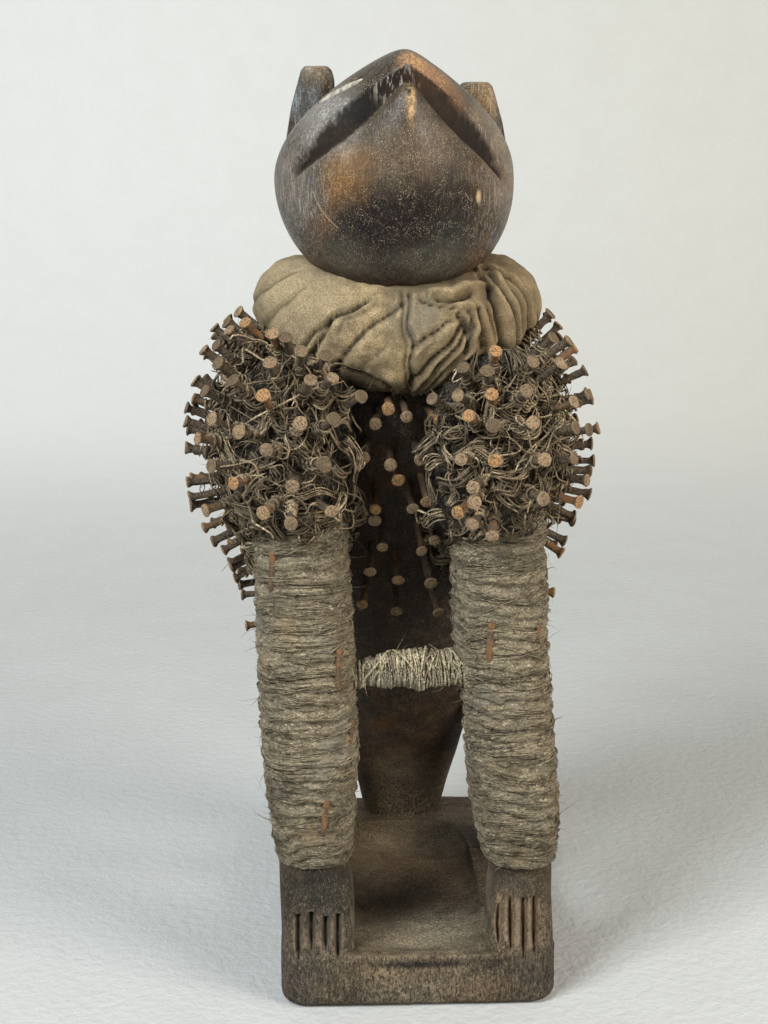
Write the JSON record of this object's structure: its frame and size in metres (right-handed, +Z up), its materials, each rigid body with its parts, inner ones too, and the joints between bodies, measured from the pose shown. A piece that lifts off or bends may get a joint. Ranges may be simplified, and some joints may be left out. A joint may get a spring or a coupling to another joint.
{
  "type": "nkisi nkondi power figure",
  "caption": "Seated carved wooden animal with head raised, bound forelegs, nails driven into chest and padded shoulders, cloth collar and dished base, for display.",
  "frame": {"origin": "middle of the base's flat underside", "axes": "+X to the right of someone who faces the figure, +Y from the forelegs towards the rump, +Z up along the figure's height"},
  "size_m": [0.2006, 0.2354, 0.4612],
  "materials": {
    "dark_wood": "hand polished, dusty in the hollows",
    "collar_cloth": "soiled cotton",
    "twine": "dry plant fibre",
    "rusted_nails": "rusted, in fibre and pitch",
    "pale_eye": "worn pale inlay"
  },
  "bodies": {
    "root": {"carved_figure": "dark_wood", "chest_nail_01": "rusted_nails", "chest_nail_02": "rusted_nails", "chest_nail_03": "rusted_nails", "chest_nail_04": "rusted_nails", "chest_nail_05": "rusted_nails", "chest_nail_06": "rusted_nails", "chest_nail_07": "rusted_nails", "chest_nail_08": "rusted_nails", "chest_nail_09": "rusted_nails", "chest_nail_10": "rusted_nails", "chest_nail_11": "rusted_nails", "chest_nail_12": "rusted_nails", "chest_nail_13": "rusted_nails", "chest_nail_14": "rusted_nails", "left_eye": "pale_eye", "left_leg_binding": "twine", "left_shoulder_nails": "rusted_nails", "leg_tie": "twine", "neck_cloth": "collar_cloth", "right_eye": "pale_eye", "right_leg_binding": "twine", "right_shoulder_nails": "rusted_nails"}
  },
  "joints": []
}
